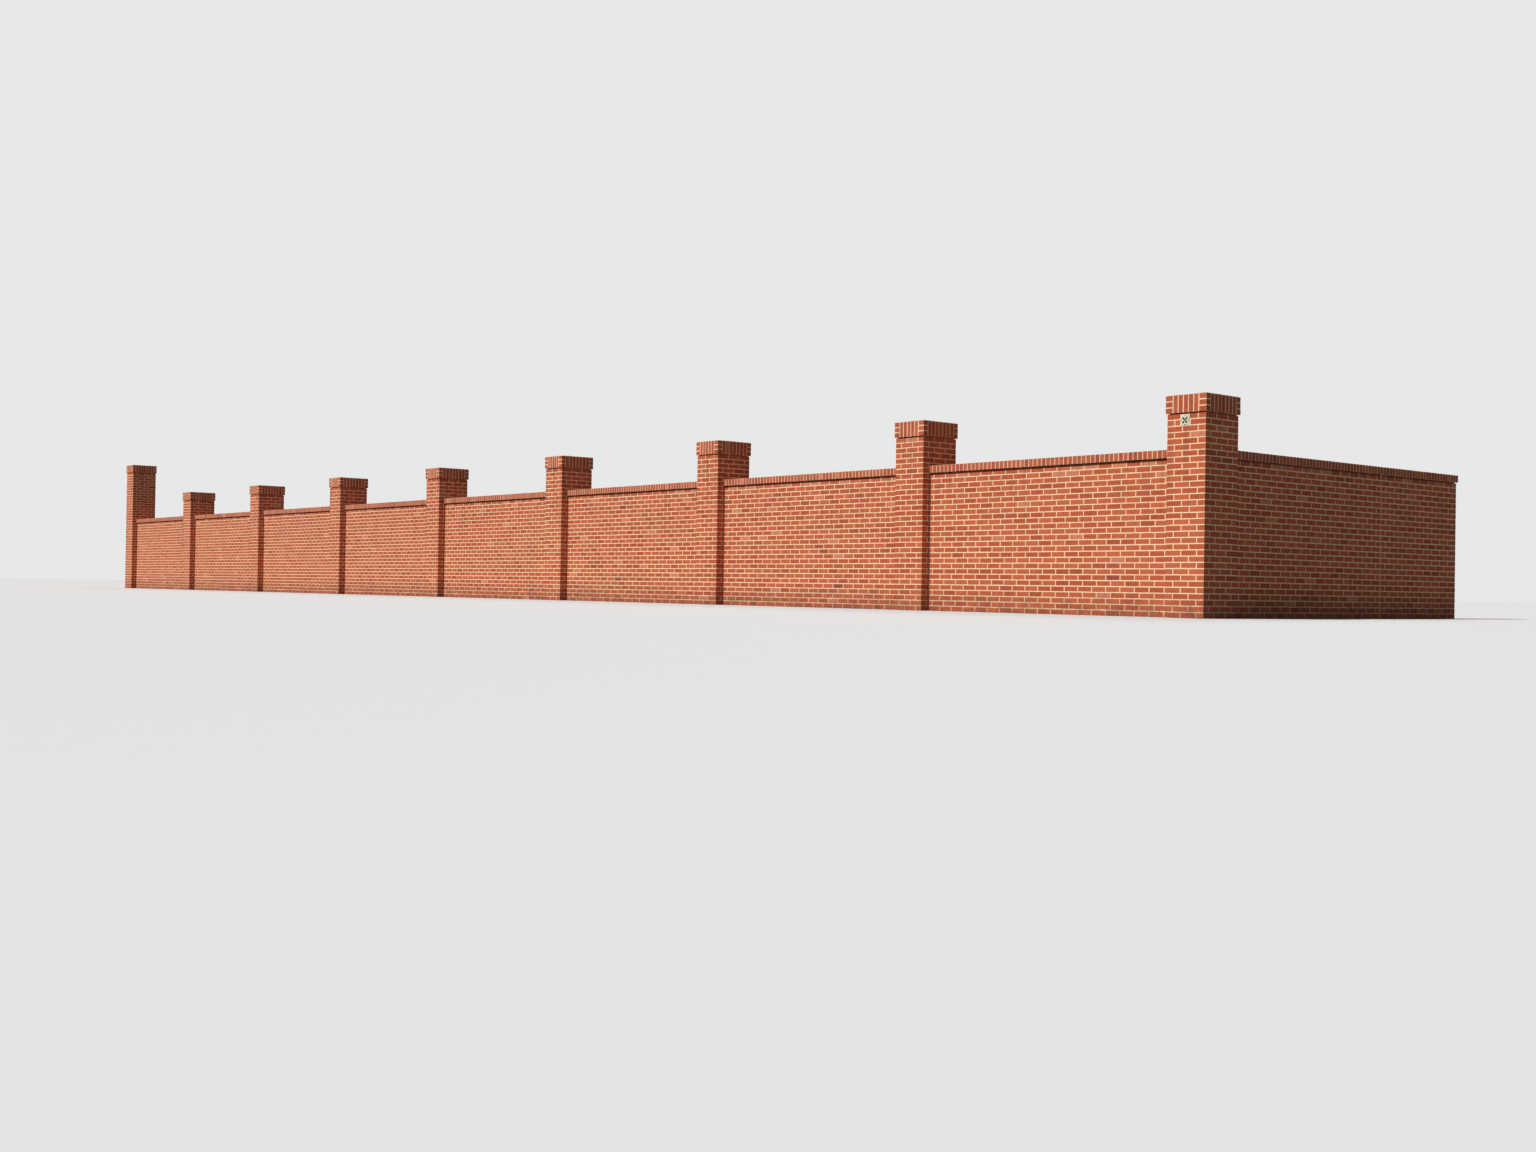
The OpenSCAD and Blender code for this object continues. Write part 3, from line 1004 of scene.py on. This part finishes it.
class WALL_OT_set_stage(bpy.types.Operator):
    """Sets the floor, the backdrop, the light and the camera"""

    bl_idname = "garden_wall.set_stage"
    bl_label = "Set Stage"

    def execute(self, context):
        scene, stage = context.scene, context.scene.wall_stage
        self.lay_floor(scene, stage)
        self.hang_lamp(scene, stage, "key", -1)
        self.hang_lamp(scene, stage, "fill", 1)
        self.light_sky(scene, stage)
        self.aim_camera(scene, stage)
        scene.view_settings.view_transform = "Standard"
        return {"FINISHED"}

    def lay_floor(self, scene, stage):
        """The pale floor, wide enough to meet the backdrop."""
        low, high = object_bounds()
        floor = bmesh.new()
        bmesh.ops.create_grid(
            floor, x_segments=2, y_segments=2, size=FLOOR_REACH,
            matrix=Matrix.Translation(((low.x + high.x) / 2, 0, low.z - FLOOR_DROP)))
        mesh = mesh_from(floor, "floor")
        mesh.materials.append(studio_floor(stage))
        ground = bpy.data.objects.new("floor", mesh)
        scene.collection.objects.link(ground)
        ground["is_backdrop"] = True

    def hang_lamp(self, scene, stage, kind, way):
        """A far lamp to the left of the wall, on the street's side or the garden's."""
        lamp = bpy.data.lights.new(f"{kind}_light", "SUN")
        lamp.energy, lamp.angle, side, height = (
            getattr(stage, f"{kind}_{word}") for word in ("strength", "softness", "side", "height"))
        lamp.color = stage.lamp_colour
        level = math.cos(height)
        towards = Vector((-math.sin(side) * level, way * math.cos(side) * level, math.sin(height)))
        hung = bpy.data.objects.new(f"{kind}_light", lamp)
        hung.rotation_mode = "QUATERNION"
        hung.rotation_quaternion = towards.to_track_quat("Z", "Y")
        hung.location = towards * LAMP_DISTANCE
        scene.collection.objects.link(hung)

    def light_sky(self, scene, stage):
        """The even light all round, and the backdrop that the camera sees instead."""
        scene.world = bpy.data.worlds.new("studio")
        sky = Nodes(scene.world)
        seen = sky.node("ShaderNodeLightPath", {}, {}).outputs["Is Camera Ray"]
        lit = sky.node("ShaderNodeBackground", {},
                       {"Color": stage.sky_colour, "Strength": stage.sky_strength})
        shown = sky.node("ShaderNodeBackground", {}, {"Color": stage.backdrop})
        either = sky.node("ShaderNodeMixShader", {},
                          {"Fac": seen, 1: lit.outputs[0], 2: shown.outputs[0]})
        sky.node("ShaderNodeOutputWorld", {}, {"Surface": either.outputs["Shader"]})

    def aim_camera(self, scene, stage):
        """The camera where the photo was taken, with its turn, rise and roll."""
        lens = bpy.data.cameras.new("street_camera")
        lens.sensor_fit, lens.sensor_width, lens.lens = "HORIZONTAL", 36.0, stage.lens
        lens.clip_start, lens.clip_end = 0.1, 900.0
        camera = bpy.data.objects.new("street_camera", lens)
        camera.matrix_world = (
            Matrix.Translation(stage.camera_place) @ Matrix.Rotation(stage.camera_turn, 4, "Z")
            @ Matrix.Rotation(math.pi / 2 + stage.camera_rise, 4, "X")
            @ Matrix.Rotation(stage.camera_roll, 4, "Z"))
        scene.collection.objects.link(camera)
        scene.camera = camera


class WALL_PT_sidebar(bpy.types.Panel):
    """Lists the steps of laying the wall, and its sizes, colours and stage"""

    bl_idname = "WALL_PT_sidebar"
    bl_label = "Garden Wall"
    bl_space_type = "VIEW_3D"
    bl_region_type = "UI"
    bl_category = "Garden Wall"

    def draw(self, context):
        for step in STEPS:
            self.layout.operator(step.bl_idname)
        for group in GROUPS:
            box, held = self.layout.box(), getattr(context.scene, group)
            for name in held.__annotations__:
                box.prop(held, name)


GROUPS = {"wall_sizes": WallSizes, "wall_colours": WallColours, "wall_stage": StageSettings}
STEPS = (
    WALL_OT_lay_piers, WALL_OT_lay_caps, WALL_OT_lay_bays, WALL_OT_lay_copings,
    WALL_OT_lay_return, WALL_OT_close_joint, WALL_OT_set_tile, WALL_OT_set_stage)
CLASSES = (*GROUPS.values(), *STEPS, WALL_PT_sidebar)


def register():
    """Adds the classes, and their settings to every scene."""
    for item in CLASSES:
        bpy.utils.register_class(item)
    for name, group in GROUPS.items():
        setattr(bpy.types.Scene, name, PointerProperty(type=group))


def unregister():
    """Takes the settings and the classes away again."""
    for name in GROUPS:
        delattr(bpy.types.Scene, name)
    for item in reversed(CLASSES):
        bpy.utils.unregister_class(item)


def main():
    """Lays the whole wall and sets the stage."""
    register()
    bpy.ops.garden_wall.lay_piers()
    bpy.ops.garden_wall.lay_caps()
    bpy.ops.garden_wall.lay_bays()
    bpy.ops.garden_wall.lay_copings()
    bpy.ops.garden_wall.lay_return()
    bpy.ops.garden_wall.close_joint()
    bpy.ops.garden_wall.set_tile()
    bpy.ops.garden_wall.set_stage()


if __name__ == "__main__":
    main()
